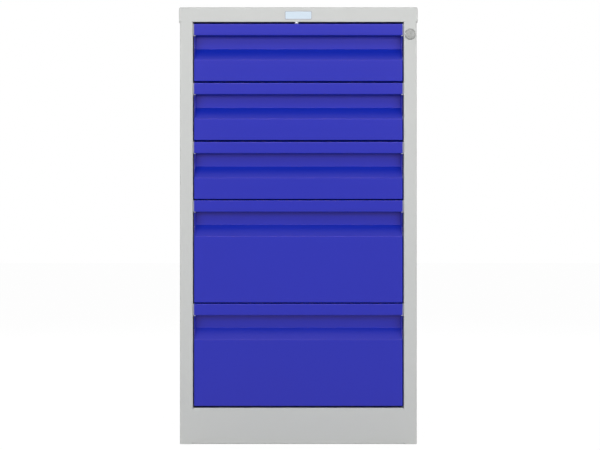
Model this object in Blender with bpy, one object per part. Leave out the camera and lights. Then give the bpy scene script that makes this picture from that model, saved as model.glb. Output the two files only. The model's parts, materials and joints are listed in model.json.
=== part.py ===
"""Tool pedestal cabinet with five drawers on telescopic slides and a central lock.

Metres, +Z up. The front faces -Y and the origin is at the middle of the footprint.
Inside the cabinet's own frame, y is the depth behind the plane of the posts.
"""

import math

import bmesh
import bpy
from mathutils import Matrix, Vector

# Fits and shared values
FIT = 0.0003  # gap between pieces that touch
OVERRUN = 0.010  # how far a cutter runs past what it cuts
EMBED = 0.0005  # how far a joined shape runs into its neighbour
WELD = 0.000001  # points this close are one
BEND_STEPS = 3
ROUND_STEPS = 32
SMALL_STEPS = 16
SHARP_DEGREES = 30
HANDS = {"left": -1, "right": 1}

# Carcass
CABINET_HEIGHT = 0.830
BODY_WIDTH = 0.450
BODY_DEPTH = 0.598
SHEET = 0.0012
BEND = 0.0015
POST_WIDTH = 0.025
POST_RETURN = 0.042
REAR_RETURN = 0.018
BASE_FLANGE = 0.020
PLINTH_HEIGHT = 0.0689
PLINTH_RETURN = 0.030
FLOOR_FLANGE = 0.020
CAP_FLANGE = 0.028
CAP_GAP = 0.0008
CAP_BEND = 0.0018
CAP_RETURN = 0.015
UPRIGHT_FOOT = 0.016
UPRIGHT_FACE = 0.030
UPRIGHT_SETBACK = 0.010  # from the slides' rear ends to the upright

# Drawers
SHALLOW_COUNT = 3
DEEP_COUNT = 2
TOP_GAP = 0.0035  # between the cover and the top front
SHALLOW_GAP = 0.0026  # above each further shallow front
DEEP_GAP = 0.0018  # above each deep front
FOOT_GAP = 0.0033  # below the lowest front
SIDE_GAP = 0.0022
SHALLOW_FRONT = 0.1094
FRONT_SHEET = 0.001
LIP_HEIGHT = 0.0223
RECESS_WALL = 0.0243
SLOPE_RISE = 0.0224
RECESS_DEPTH = 0.018
FRONT_BEND = 0.001
HEM_DEPTH = 0.0034
HEM_RETURN = 0.005
BOX_SHEET = 0.001
BOX_BEND = 0.002
BOX_LIFT = 0.006  # from the front's foot to the box's floor
BOX_DROP = 0.009  # from the front's top to the box's rim

# Telescopic slides
SLIDE_LENGTH = 0.550
SLIDE_HEIGHT = 0.045
SLIDE_THICK = 0.0127
SLIDE_SHEET = 0.0012
SLIDE_DROP = 0.005  # from the front's top to the slide's top
SLIDE_SETBACK = 0.002  # from the front's rear face to the slides
RACE_PLAY = 0.0004
BEAD_HEIGHT = 0.004
BEAD_WIDTH = 0.0062
INNER_BEAD_HEIGHT = 0.003
LIP_REACH = 0.0016
MIDDLE_INSET = 0.005

# Lock
LOCK_BELOW_TOP = 0.0516
LOCK_HEAD_RADIUS = 0.0105
LOCK_HEAD_PROUD = 0.0023
LOCK_CHAMFER = 0.0009
LOCK_BODY_RADIUS = 0.008
LOCK_BODY_LENGTH = 0.020
LOCK_PLUG_RADIUS = 0.0057
LOCK_TURN_DEGREES = 90.0
KEY_SLOT_HEIGHT = 0.006
KEY_SLOT_WIDTH = 0.0012
KEY_SLOT_DEPTH = 0.008
TANG_RADIUS = 0.003
CLIP_THICK = 0.001
CLIP_WIDTH = 0.0205
CLIP_HEIGHT = 0.022
CAM_THICK = 0.002
CAM_HUB_RADIUS = 0.0055
CAM_THROW = 0.0065
CAM_PIN_RADIUS = 0.0015
CAM_TIP_RADIUS = 0.003
CAM_GAP = 0.0021  # between the cam and the bar, for the end of the tang

# Lock bar, its guides and the drawers' catches
BAR_WIDTH = 0.016
BAR_THICK = 0.002
BAR_TAIL = 0.012
FINGER_HEIGHT = 0.008
FINGER_REACH = 0.0108
FINGER_CLEAR = 0.001
PIN_PLAY = 0.0005
PIN_PAST = 0.001
SLOT_CLEAR = 0.001
GUIDE_HEIGHT = 0.012
GUIDE_WALL = 0.003
CATCH_THICK = 0.0015
CATCH_REACH = 0.0085
CATCH_HEIGHT = 0.008
CATCH_GAP = 0.001
CATCH_BELOW_SLIDE = 0.002

# Trim
PLATE_WIDTH = 0.051
PLATE_HEIGHT = 0.016
PLATE_THICK = 0.0008
PLATE_CORNER = 0.002
PLATE_BELOW_TOP = 0.0157
BUFFER_OFFSET = -0.0035
BUFFER_RADIUS = 0.0035
BUFFER_SETBACK = 0.0045
BUFFER_PLAY = 0.0004
BUFFER_STEM_RADIUS = 0.0015
BUFFER_BARB_RADIUS = 0.0021
BUFFER_BARB_HEIGHT = 0.002

# Places that follow from the sizes above
HALF_BODY = BODY_WIDTH / 2
HALF_OPENING = HALF_BODY - POST_WIDTH
OPENING_TOP = CABINET_HEIGHT - CAP_FLANGE
OPENING_HEIGHT = OPENING_TOP - PLINTH_HEIGHT
SHALLOW_GAPS = [TOP_GAP] + [SHALLOW_GAP] * (SHALLOW_COUNT - 1)
SHALLOW_STACK = sum(SHALLOW_GAPS) + SHALLOW_COUNT * SHALLOW_FRONT
DEEP_FRONT = (OPENING_HEIGHT - SHALLOW_STACK - FOOT_GAP) / DEEP_COUNT - DEEP_GAP
FRONT_GAPS = SHALLOW_GAPS + [DEEP_GAP] * DEEP_COUNT
FRONT_HEIGHTS = [SHALLOW_FRONT] * SHALLOW_COUNT + [DEEP_FRONT] * DEEP_COUNT
HALF_FRONT = HALF_OPENING - SIDE_GAP
CAP_DEPTH = BODY_DEPTH + CAP_GAP + SHEET
FACE_Y = (LOCK_HEAD_PROUD - CAP_DEPTH) / 2
WALL_TOP = CABINET_HEIGHT - SHEET - 2 * FIT
FRONT_BACK = RECESS_DEPTH + FRONT_SHEET
SLIDE_FRONT = FRONT_BACK + SLIDE_SETBACK
SLIDE_REAR = SLIDE_FRONT + SLIDE_LENGTH
HALF_BOX = HALF_OPENING - FIT - SLIDE_THICK - FIT
UPRIGHT_REAR = SLIDE_REAR - UPRIGHT_SETBACK
FLOOR_TOP = PLINTH_HEIGHT - SHEET - FIT
LOCK_X = HALF_OPENING + POST_WIDTH / 2
LOCK_Z = CABINET_HEIGHT - LOCK_BELOW_TOP
LOCK_TURN = math.radians(LOCK_TURN_DEGREES)
BAR_TRAVEL = 2 * CAM_THROW * math.sin(LOCK_TURN / 2)
BAR_LEFT = HALF_OPENING + SHEET + FIT
CAM_FRONT = LOCK_BODY_LENGTH + FIT
BAR_FRONT = CAM_FRONT + CAM_THICK + CAM_GAP
CATCH_FRONT = BAR_FRONT + BAR_THICK + CATCH_GAP


def drawer_feet():
    """Height of each front's lower edge, from the top drawer down."""
    feet = []
    top = OPENING_TOP
    for gap, height in zip(FRONT_GAPS, FRONT_HEIGHTS):
        top -= gap + height
        feet.append(top)
    return feet


DRAWER_FEET = drawer_feet()


# Materials

def finish(name, colour, roughness, metallic):
    """A Principled material, made once and shared by the pieces that have it."""
    found = bpy.data.materials.get(name)
    if found:
        return found
    made = bpy.data.materials.new(name)
    made.use_nodes = True
    shader = made.node_tree.nodes["Principled BSDF"]
    shader.inputs["Base Color"].default_value = (*colour, 1)
    shader.inputs["Roughness"].default_value = roughness
    shader.inputs["Metallic"].default_value = metallic
    return made


def grey_paint():
    return finish("light_grey_powder_coat", (0.58, 0.59, 0.58), 0.5, 0)


def blue_paint():
    return finish("blue_powder_coat", (0.040, 0.047, 0.48), 0.45, 0)


def zinc():
    return finish("zinc_plated_steel", (0.62, 0.63, 0.65), 0.35, 1)


def nickel():
    return finish("nickel_plated_zinc", (0.55, 0.55, 0.54), 0.3, 1)


def white_nylon():
    return finish("white_nylon", (0.85, 0.86, 0.86), 0.5, 0)


def grey_nylon():
    return finish("grey_nylon", (0.36, 0.36, 0.40), 0.5, 0)


def plate_metal():
    return finish("satin_aluminium", (0.72, 0.78, 0.84), 0.35, 1)


# Shape helpers

def new_object(name, bm, material, parent):
    """Turns a bmesh into a named object under its parent."""
    mesh = bpy.data.meshes.new(name)
    bm.to_mesh(mesh)
    bm.free()
    made = bpy.data.objects.new(name, mesh)
    bpy.context.scene.collection.objects.link(made)
    made.parent = parent
    if material:
        mesh.materials.append(material)
    return made


def new_frame(name, parent, location):
    """An empty that carries the pieces of one moving body."""
    made = bpy.data.objects.new(name, None)
    bpy.context.scene.collection.objects.link(made)
    made.parent = parent
    made.location = location
    return made


def shade_round(made):
    """Shades a round piece smooth, with its corners kept sharp."""
    made.data.shade_smooth()
    made.data.set_sharp_from_angle(angle=math.radians(SHARP_DEGREES))
    return made


def block(low, high):
    """A rectangular block between two corners."""
    bm = bmesh.new()
    bmesh.ops.create_cube(bm, size=1)
    size = Vector(high) - Vector(low)
    middle = (Vector(high) + Vector(low)) / 2
    bmesh.ops.transform(bm, matrix=Matrix.LocRotScale(middle, None, size), verts=bm.verts)
    return bm


def lift(axis, a, b, along):
    """A point from its two outline coordinates and its place along the axis."""
    return {"X": (along, a, b), "Y": (a, along, b), "Z": (a, b, along)}[axis]


def extruded(outline, axis, start, end):
    """A closed outline run straight along one axis."""
    bm = bmesh.new()
    face = bm.faces.new([bm.verts.new(lift(axis, a, b, start)) for a, b in outline])
    grown = bmesh.ops.extrude_face_region(bm, geom=[face], use_keep_orig=True)["geom"]
    far_end = [item for item in grown if isinstance(item, bmesh.types.BMVert)]
    bmesh.ops.translate(bm, vec=lift(axis, 0, 0, end - start), verts=far_end)
    bmesh.ops.recalc_face_normals(bm, faces=bm.faces)
    return bm


def arc(centre, radius, first, last, steps):
    """Points on an arc, with both its ends."""
    angles = [first + (last - first) * i / steps for i in range(steps + 1)]
    return [(centre[0] + radius * math.cos(t), centre[1] + radius * math.sin(t)) for t in angles]


def folded(path, thickness, bend):
    """Outline of a folded sheet whose middle line runs through the path's points."""
    points = [Vector(p) for p in path]
    runs = [(b - a).normalized() for a, b in zip(points, points[1:])]
    radius = bend + thickness / 2
    line = [(points[0], runs[0].orthogonal())]
    for corner, before, after in zip(points[1:-1], runs, runs[1:]):
        turn = before.angle_signed(after)
        side = math.copysign(1, -turn)
        reach = radius * math.tan(abs(turn) / 2)
        centre = corner - before * reach + before.orthogonal() * radius * side
        for i in range(BEND_STEPS + 1):
            normal = Matrix.Rotation(-turn * i / BEND_STEPS, 2) @ before.orthogonal()
            line.append((centre - normal * radius * side, normal))
    line.append((points[-1], runs[-1].orthogonal()))
    half = thickness / 2
    left = [p + n * half for p, n in line]
    right = [p - n * half for p, n in line]
    return left + right[::-1]


def spun(profile, axis, steps):
    """A profile of (radius, height) points turned round the Y or the Z axis.

    A profile that starts on the axis ends on it, and any other closes on itself.
    """
    bm = bmesh.new()
    verts = [bm.verts.new((r, h, 0) if axis == "Y" else (r, 0, h)) for r, h in profile]
    ring = verts if profile[0][0] == 0 else verts + verts[:1]
    edges = [bm.edges.new(pair) for pair in zip(ring, ring[1:])]
    bmesh.ops.spin(
        bm,
        geom=verts + edges,
        axis=(0, 1, 0) if axis == "Y" else (0, 0, 1),
        cent=(0, 0, 0),
        steps=steps,
        angle=math.tau,
        use_merge=True,
    )
    bmesh.ops.remove_doubles(bm, verts=bm.verts, dist=WELD)
    bmesh.ops.recalc_face_normals(bm, faces=bm.faces)
    return bm


def drum(radius, start, end, axis="Y", steps=ROUND_STEPS):
    """A plain cylinder round an axis."""
    return spun([(0, start), (radius, start), (radius, end), (0, end)], axis, steps)


def moved(bm, x, y, z):
    """The same mesh, shifted."""
    bmesh.ops.translate(bm, vec=(x, y, z), verts=bm.verts)
    return bm


def open_tray(low, high, open_up, bend):
    """A box shell open at its top or its foot, with its folded edges rounded."""
    bm = block(low, high)
    wanted = 1 if open_up else -1
    lid = [f for f in bm.faces if f.normal.z * wanted > 0.5]
    bmesh.ops.delete(bm, geom=lid, context="FACES")
    folds = [e for e in bm.edges if not e.is_boundary]
    bmesh.ops.bevel(
        bm, geom=folds, offset=bend, segments=BEND_STEPS, profile=0.5, affect="EDGES", material=-1
    )
    return bm


def with_wall(made, thickness):
    """Gives a shell its wall, on the inner side."""
    wall = made.modifiers.new("wall", "SOLIDIFY")
    wall.thickness = thickness
    wall.offset = -1
    wall.use_even_offset = True
    return made


def boolean(made, other, operation):
    """Joins or cuts with a hidden guide object."""
    step = made.modifiers.new(other.name, "BOOLEAN")
    step.operation = operation
    step.object = other
    step.solver = "EXACT"
    other.hide_render = True
    other.display_type = "WIRE"


def cut(made, name, bm):
    """Cuts a shape out of a piece."""
    boolean(made, new_object(f"cutter_{name}", bm, None, made.parent), "DIFFERENCE")


def join(made, name, bm):
    """Joins a shape to a piece."""
    boolean(made, new_object(f"guide_{name}", bm, None, made.parent), "UNION")


def mirrored(outline, side):
    """An outline drawn for the right side, put on the side wanted."""
    return [(side * a, b) for a, b in outline]


# Carcass

def side_panel(cabinet, name, side):
    """A side wall folded round into the front post and a rear return."""
    half = SHEET / 2
    path = [
        (HALF_BODY - REAR_RETURN, BODY_DEPTH - half),
        (HALF_BODY - half, BODY_DEPTH - half),
        (HALF_BODY - half, half),
        (HALF_OPENING + half, half),
        (HALF_OPENING + half, POST_RETURN),
    ]
    outline = mirrored(folded(path, SHEET, BEND), side)
    panel = new_object(name, extruded(outline, "Z", 0, WALL_TOP), grey_paint(), cabinet)
    near, far = sorted((side * (HALF_OPENING - OVERRUN), side * (HALF_BODY + OVERRUN)))
    notch_low = (near, -OVERRUN, OPENING_TOP - FIT)
    notch_high = (far, SHEET + CAP_BEND + SHEET, WALL_TOP + OVERRUN)
    cut(panel, f"{name}_cap_notch", block(notch_low, notch_high))
    inner, outer = sorted((side * (HALF_BODY - BASE_FLANGE), side * (HALF_BODY - EMBED)))
    flange_high = (outer, BODY_DEPTH - EMBED, FIT + SHEET)
    join(panel, f"{name}_base_flange", block((inner, EMBED, FIT), flange_high))
    return panel


def cut_lock_openings(panel):
    """The lock's hole in the right post and the fingers' slots in its return."""
    hole = drum(LOCK_BODY_RADIUS + FIT, -OVERRUN, SHEET + BEND)
    cut(panel, "lock_hole", moved(hole, LOCK_X, 0, LOCK_Z))
    for number, low in enumerate(finger_feet(), 1):
        slot_low = (HALF_OPENING - OVERRUN, BAR_FRONT - SLOT_CLEAR, low - SLOT_CLEAR)
        slot_high = (
            BAR_LEFT,
            BAR_FRONT + BAR_THICK + SLOT_CLEAR,
            low + FINGER_HEIGHT + BAR_TRAVEL + SLOT_CLEAR,
        )
        cut(panel, f"finger_slot_{number}", block(slot_low, slot_high))


def top_cover(cabinet):
    """The folded cover that wraps over the carcass, with a return along its front flange."""
    half = HALF_BODY + CAP_GAP + SHEET
    high = (half, CAP_DEPTH, CABINET_HEIGHT)
    shell = open_tray((-half, 0, OPENING_TOP), high, False, CAP_BEND + SHEET)
    cover = with_wall(new_object("top_cover", shell, grey_paint(), cabinet), SHEET)
    inner = HALF_OPENING - FIT
    foot = OPENING_TOP + FIT
    join(cover, "cap_return", block((-inner, EMBED, foot), (inner, CAP_RETURN, foot + SHEET)))
    hole = drum(BUFFER_STEM_RADIUS + FIT, foot - OVERRUN, foot + OVERRUN, "Z", SMALL_STEPS)
    cut(cover, "buffer_hole", moved(hole, BUFFER_OFFSET, BUFFER_SETBACK, 0))
    return cover


def plinth_panel(cabinet):
    """The kick board between the posts, folded back along its top and its foot."""
    half = SHEET / 2
    path = [
        (PLINTH_RETURN, PLINTH_HEIGHT - half),
        (half, PLINTH_HEIGHT - half),
        (half, half),
        (PLINTH_RETURN, half),
    ]
    inner = HALF_OPENING - FIT
    sheet = extruded(folded(path, SHEET, BEND), "X", -inner, inner)
    return new_object("plinth_panel", sheet, grey_paint(), cabinet)


def floor_panel(cabinet):
    """The floor pan, with a tongue between the posts and a flange down each side."""
    half = SHEET / 2
    wide = HALF_BODY - SHEET - FIT - half
    level = FLOOR_TOP - half
    path = [
        (-wide, level - FLOOR_FLANGE),
        (-wide, level),
        (wide, level),
        (wide, level - FLOOR_FLANGE),
    ]
    front = POST_RETURN + FIT
    rear = BODY_DEPTH - 2 * SHEET - 2 * FIT
    pan = extruded(folded(path, SHEET, BEND), "Y", front, rear)
    panel = new_object("floor_panel", pan, grey_paint(), cabinet)
    inner = HALF_OPENING - FIT
    tongue_low = (-inner, SHEET + BEND, FLOOR_TOP - SHEET)
    join(panel, "floor_tongue", block(tongue_low, (inner, front + EMBED, FLOOR_TOP)))
    return panel


def back_panel(cabinet):
    """The back sheet, held in front of the side panels' rear returns."""
    wide = HALF_BODY - SHEET - BEND
    rear = BODY_DEPTH - SHEET - FIT
    sheet = block((-wide, rear - SHEET, 2 * FIT + SHEET), (wide, rear, WALL_TOP))
    return new_object("back_panel", sheet, grey_paint(), cabinet)


def rear_upright(cabinet, name, side):
    """A folded upright that carries the rear ends of one side's slides."""
    half = SHEET / 2
    wall = HALF_BODY - SHEET - FIT - half
    face = HALF_OPENING + half
    middle = UPRIGHT_REAR - UPRIGHT_FACE
    path = [
        (wall, middle - UPRIGHT_FOOT),
        (wall, middle),
        (face, middle),
        (face, UPRIGHT_REAR),
    ]
    outline = mirrored(folded(path, SHEET, BEND), side)
    sheet = extruded(outline, "Z", FLOOR_TOP + FIT, CABINET_HEIGHT - SHEET - FIT)
    return new_object(name, sheet, grey_paint(), cabinet)


def name_plate(cabinet):
    """A blank plate with round corners on the middle of the cover's front flange."""
    across = PLATE_WIDTH / 2 - PLATE_CORNER
    up = PLATE_HEIGHT / 2 - PLATE_CORNER
    level = CABINET_HEIGHT - PLATE_BELOW_TOP
    corners = [(across, up), (-across, up), (-across, -up), (across, -up)]
    outline = []
    for quarter, (x, z) in enumerate(corners):
        first = quarter * math.pi / 2
        outline += arc((x, level + z), PLATE_CORNER, first, first + math.pi / 2, BEND_STEPS)
    plate = extruded(outline, "Y", -FIT - PLATE_THICK, -FIT)
    return new_object("badge_plate", plate, plate_metal(), cabinet)


def top_buffer(cabinet):
    """A nylon buffer plugged up through the cover's front return."""
    foot = OPENING_TOP - TOP_GAP + BUFFER_PLAY
    above = OPENING_TOP + 2 * FIT + SHEET
    profile = [
        (0, foot),
        (BUFFER_RADIUS - FIT, foot),
        (BUFFER_RADIUS, foot + FIT),
        (BUFFER_RADIUS, OPENING_TOP),
        (BUFFER_STEM_RADIUS, OPENING_TOP),
        (BUFFER_STEM_RADIUS, above),
        (BUFFER_BARB_RADIUS, above),
        (BUFFER_STEM_RADIUS, above + BUFFER_BARB_HEIGHT),
        (0, above + BUFFER_BARB_HEIGHT),
    ]
    bm = moved(spun(profile, "Z", SMALL_STEPS), BUFFER_OFFSET, BUFFER_SETBACK, 0)
    return shade_round(new_object("top_buffer", bm, white_nylon(), cabinet))


# Slides, drawn from the mounting plane inwards and from the slide's mid height

def cabinet_member_section():
    """Upper half of the outer channel: a web against the post and a flange with a lip."""
    top = SLIDE_HEIGHT / 2
    lip_foot = top - SLIDE_SHEET - LIP_REACH
    lip = SLIDE_SHEET + 2 * RACE_PLAY + BEAD_WIDTH
    return [
        (SLIDE_SHEET, top - SLIDE_SHEET),
        (lip, top - SLIDE_SHEET),
        (lip, lip_foot),
        (lip + SLIDE_SHEET, lip_foot),
        (lip + SLIDE_SHEET, top),
        (0, top),
    ]


def middle_member_section():
    """Upper half of the middle member: a web and a rolled edge that holds both ball rows."""
    top = SLIDE_HEIGHT / 2 - SLIDE_SHEET - FIT
    under = top - BEAD_HEIGHT
    web = SLIDE_SHEET + RACE_PLAY
    lip = web + BEAD_WIDTH - FIT
    return [
        (web + SLIDE_SHEET, under),
        (lip, under),
        (lip, under - LIP_REACH),
        (lip + SLIDE_SHEET, under - LIP_REACH),
        (lip + SLIDE_SHEET, under + LIP_REACH / 2),
        (web + BEAD_WIDTH, under + LIP_REACH),
        (web + BEAD_WIDTH, top),
        (web, top),
    ]


def drawer_member_section():
    """Upper half of the inner member: a bead in the middle member and a web against the box."""
    top = SLIDE_HEIGHT / 2 - SLIDE_SHEET - FIT - BEAD_HEIGHT - FIT
    under = top - INNER_BEAD_HEIGHT
    neck = under + SLIDE_SHEET
    near = 2 * SLIDE_SHEET + 2 * RACE_PLAY
    far = SLIDE_SHEET + BEAD_WIDTH - FIT
    return [
        (SLIDE_THICK - SLIDE_SHEET, under),
        (near, under),
        (near, top),
        (far, top),
        (far, neck),
        (SLIDE_THICK, neck),
    ]


def slide_member(parent, name, side, upper, start, end, level):
    """One rolled member, doubled about its mid height and run along the depth."""
    lower = [(inwards, -height) for inwards, height in reversed(upper)]
    mount = HALF_OPENING - FIT
    outline = [(side * (mount - inwards), level + height) for inwards, height in upper + lower]
    return new_object(name, extruded(outline, "Y", start, end), zinc(), parent)


def slide_level(height):
    """Mid height of a drawer's slides above its front's foot."""
    return height - SLIDE_DROP - SLIDE_HEIGHT / 2


# Drawers

def front_section(height):
    """Middle line of the front's one sheet, from its lower return round to the hem of its lip."""
    half = FRONT_SHEET / 2
    fold = height - LIP_HEIGHT - RECESS_WALL
    lip_foot = height - LIP_HEIGHT + half
    return [
        (FRONT_BACK, half),
        (half, half),
        (half, fold - SLOPE_RISE),
        (RECESS_DEPTH + half, fold),
        (RECESS_DEPTH + half, height - half),
        (half, height - half),
        (half, lip_foot),
        (half + HEM_DEPTH, lip_foot),
        (half + HEM_DEPTH, lip_foot + HEM_RETURN),
    ]


def drawer_front(drawer, number, height):
    """The painted front with its finger recess, closed at both ends up to the lip."""
    section = front_section(height)
    sheet = extruded(folded(section, FRONT_SHEET, FRONT_BEND), "X", -HALF_FRONT, HALF_FRONT)
    front = new_object(f"drawer_front_{number}", sheet, blue_paint(), drawer)
    (near, foot), (_, lip_foot) = section[1], section[6]
    near, foot, rear = near + FIT, foot + FIT, FRONT_BACK - FIT
    plate = [(near, foot), (rear, foot), (rear, lip_foot), (near, lip_foot)]
    for side in (-1, 1):
        ends = (side * (HALF_FRONT - FIT - FRONT_SHEET), side * (HALF_FRONT - FIT))
        join(front, f"front_end_{number}_{side}", extruded(plate, "X", *sorted(ends)))
    return front


def drawer_box(drawer, number, height):
    """The open steel tray behind the front, with the catch for the lock's finger."""
    low = (-HALF_BOX, FRONT_BACK + FIT, BOX_LIFT)
    shell = open_tray(low, (HALF_BOX, SLIDE_REAR, height - BOX_DROP), True, BOX_BEND)
    box = with_wall(new_object(f"drawer_box_{number}", shell, grey_paint(), drawer), BOX_SHEET)
    top = height - SLIDE_DROP - SLIDE_HEIGHT - CATCH_BELOW_SLIDE
    catch_low = (HALF_BOX - EMBED, CATCH_FRONT, top - CATCH_HEIGHT)
    catch_high = (HALF_BOX + CATCH_REACH, CATCH_FRONT + CATCH_THICK, top)
    join(box, f"catch_{number}", block(catch_low, catch_high))
    return box


def drawer(cabinet, number, foot, height):
    """One drawer with its front, box and slides, each body under its own frame."""
    runner = new_frame(f"drawer_{number}", cabinet, (0, 0, foot))
    rails = new_frame(f"middle_rails_{number}", cabinet, (0, 0, foot))
    level = slide_level(height)
    drawer_front(runner, number, height)
    drawer_box(runner, number, height)
    for hand, side in HANDS.items():
        slide_member(
            cabinet,
            f"slide_cabinet_member_{hand}_{number}",
            side,
            cabinet_member_section(),
            SLIDE_FRONT,
            SLIDE_REAR,
            foot + level,
        )
        slide_member(
            rails,
            f"slide_middle_member_{hand}_{number}",
            side,
            middle_member_section(),
            SLIDE_FRONT + MIDDLE_INSET,
            SLIDE_REAR - MIDDLE_INSET,
            level,
        )
        slide_member(
            runner,
            f"slide_drawer_member_{hand}_{number}",
            side,
            drawer_member_section(),
            SLIDE_FRONT,
            SLIDE_REAR,
            level,
        )


# Lock

def lock_housing(cabinet):
    """The fixed lock body, its head against the post's face."""
    bore = LOCK_PLUG_RADIUS + FIT
    profile = [
        (bore, -LOCK_HEAD_PROUD),
        (LOCK_HEAD_RADIUS - LOCK_CHAMFER, -LOCK_HEAD_PROUD),
        (LOCK_HEAD_RADIUS, LOCK_CHAMFER - LOCK_HEAD_PROUD),
        (LOCK_HEAD_RADIUS, -FIT),
        (LOCK_BODY_RADIUS, -FIT),
        (LOCK_BODY_RADIUS, LOCK_BODY_LENGTH),
        (bore, LOCK_BODY_LENGTH),
    ]
    bm = moved(spun(profile, "Y", ROUND_STEPS), LOCK_X, 0, LOCK_Z)
    return shade_round(new_object("lock_housing", bm, nickel(), cabinet))


def lock_clip(cabinet):
    """The horseshoe clip that holds the housing from inside the post."""
    across = CLIP_WIDTH / 2
    up = CLIP_HEIGHT / 2
    gap = LOCK_BODY_RADIUS + FIT
    outline = [(-gap, -up), (-across, -up), (-across, up), (across, up), (across, -up), (gap, -up)]
    outline += arc((0, 0), gap, 0, math.pi, ROUND_STEPS // 2)
    plate = extruded(outline, "Y", SHEET + FIT, SHEET + FIT + CLIP_THICK)
    return new_object("lock_clip", moved(plate, LOCK_X, 0, LOCK_Z), zinc(), cabinet)


def lock_plug(lock):
    """The turning plug with its key slot and the tang that drives the cam."""
    front = FIT - LOCK_HEAD_PROUD
    tang_end = CAM_FRONT + CAM_THICK + CAM_GAP / 2
    profile = [
        (0, front),
        (LOCK_PLUG_RADIUS, front),
        (LOCK_PLUG_RADIUS, LOCK_BODY_LENGTH),
        (TANG_RADIUS, LOCK_BODY_LENGTH),
        (TANG_RADIUS, tang_end),
        (0, tang_end),
    ]
    plug = new_object("lock_plug", spun(profile, "Y", ROUND_STEPS), nickel(), lock)
    across, up = KEY_SLOT_WIDTH / 2, KEY_SLOT_HEIGHT / 2
    slot = block((-across, front - OVERRUN, -up), (across, front + KEY_SLOT_DEPTH, up))
    cut(plug, "key_slot", slot)
    return shade_round(plug)


def lock_cam(lock):
    """The cam on the tang, with the pin that lifts the bar, at its unlocked angle."""
    rest = new_frame("lock_cam_rest", lock, (0, 0, 0))
    rest.rotation_euler.y = -LOCK_TURN / 2
    lean = math.acos((CAM_HUB_RADIUS - CAM_TIP_RADIUS) / CAM_THROW)
    outline = arc((0, 0), CAM_HUB_RADIUS, lean - math.pi, math.pi - lean, ROUND_STEPS)
    outline += arc((-CAM_THROW, 0), CAM_TIP_RADIUS, math.pi - lean, math.pi + lean, SMALL_STEPS)
    rear = CAM_FRONT + CAM_THICK
    cam = new_object("lock_cam", extruded(outline, "Y", CAM_FRONT, rear), zinc(), rest)
    cut(cam, "cam_hub", drum(TANG_RADIUS + FIT, CAM_FRONT - OVERRUN, rear + OVERRUN))
    pin = drum(CAM_PIN_RADIUS, rear - EMBED, BAR_FRONT + BAR_THICK + PIN_PAST, "Y", SMALL_STEPS)
    join(cam, "cam_pin", moved(pin, -CAM_THROW, 0, 0))
    return cam


def finger_feet():
    """Height of each finger's lower edge with the lock open, from the top drawer down."""
    below = SLIDE_DROP + SLIDE_HEIGHT + CATCH_BELOW_SLIDE + CATCH_HEIGHT + FINGER_CLEAR + FINGER_HEIGHT
    return [foot + height - below for foot, height in zip(DRAWER_FEET, FRONT_HEIGHTS)]


def lock_bar(cabinet):
    """The flat bar in the right post, with a finger for each drawer and a slot for the pin."""
    slider = new_frame("lock_bar_slide", cabinet, (0, 0, 0))
    pin_z = LOCK_Z - CAM_THROW * math.sin(LOCK_TURN / 2)
    right = BAR_LEFT + BAR_WIDTH
    tip = BAR_LEFT - FINGER_REACH
    feet = finger_feet()
    outline = [(right, feet[-1] - BAR_TAIL), (right, pin_z + BAR_TAIL), (BAR_LEFT, pin_z + BAR_TAIL)]
    for foot in feet:
        head = foot + FINGER_HEIGHT
        outline += [(BAR_LEFT, head), (tip, head), (tip, foot), (BAR_LEFT, foot)]
    outline.append((BAR_LEFT, feet[-1] - BAR_TAIL))
    plate = extruded(outline, "Y", BAR_FRONT, BAR_FRONT + BAR_THICK)
    bar = new_object("lock_bar", plate, zinc(), slider)
    play = CAM_PIN_RADIUS + PIN_PLAY
    slot_low = (LOCK_X - CAM_THROW - play, BAR_FRONT - OVERRUN, pin_z - play)
    inner_reach = CAM_THROW * math.cos(LOCK_TURN / 2)
    slot_high = (LOCK_X - inner_reach + play, BAR_FRONT + OVERRUN, pin_z + play)
    cut(bar, "pin_slot", block(slot_low, slot_high))
    return bar


def bar_guide(cabinet, name, middle):
    """A nylon guide that holds the bar against the post's return."""
    left, right = BAR_LEFT, HALF_BODY - SHEET - FIT
    groove = BAR_LEFT + BAR_WIDTH + FIT
    near, far = BAR_FRONT - FIT, BAR_FRONT + BAR_THICK + FIT
    outline = [
        (left, near - GUIDE_WALL),
        (right, near - GUIDE_WALL),
        (right, far + GUIDE_WALL),
        (left, far + GUIDE_WALL),
        (left, far),
        (groove, far),
        (groove, near),
        (left, near),
    ]
    low = middle - GUIDE_HEIGHT / 2
    return new_object(name, extruded(outline, "Z", low, low + GUIDE_HEIGHT), grey_nylon(), cabinet)


def lock(cabinet):
    """The lock, its bar and the bar's two guides."""
    lock_housing(cabinet)
    lock_clip(cabinet)
    turning = new_frame("lock_turn", cabinet, (LOCK_X, 0, LOCK_Z))
    lock_plug(turning)
    lock_cam(turning)
    lock_bar(cabinet)
    feet = finger_feet()
    bar_guide(cabinet, "bar_guide_upper", (feet[0] + feet[1]) / 2)
    bar_guide(cabinet, "bar_guide_lower", (feet[-2] + feet[-1]) / 2)


def main():
    """Clears the scene and builds the cabinet."""
    for old in list(bpy.data.objects):
        bpy.data.objects.remove(old)
    cabinet = new_frame("cabinet", None, (0, FACE_Y, 0))
    for hand, side in HANDS.items():
        panel = side_panel(cabinet, f"side_panel_{hand}", side)
        if side > 0:
            cut_lock_openings(panel)
        rear_upright(cabinet, f"rear_upright_{hand}", side)
    top_cover(cabinet)
    plinth_panel(cabinet)
    floor_panel(cabinet)
    back_panel(cabinet)
    name_plate(cabinet)
    top_buffer(cabinet)
    lock(cabinet)
    for number, (foot, height) in enumerate(zip(DRAWER_FEET, FRONT_HEIGHTS), 1):
        drawer(cabinet, number, foot, height)


main()
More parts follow.
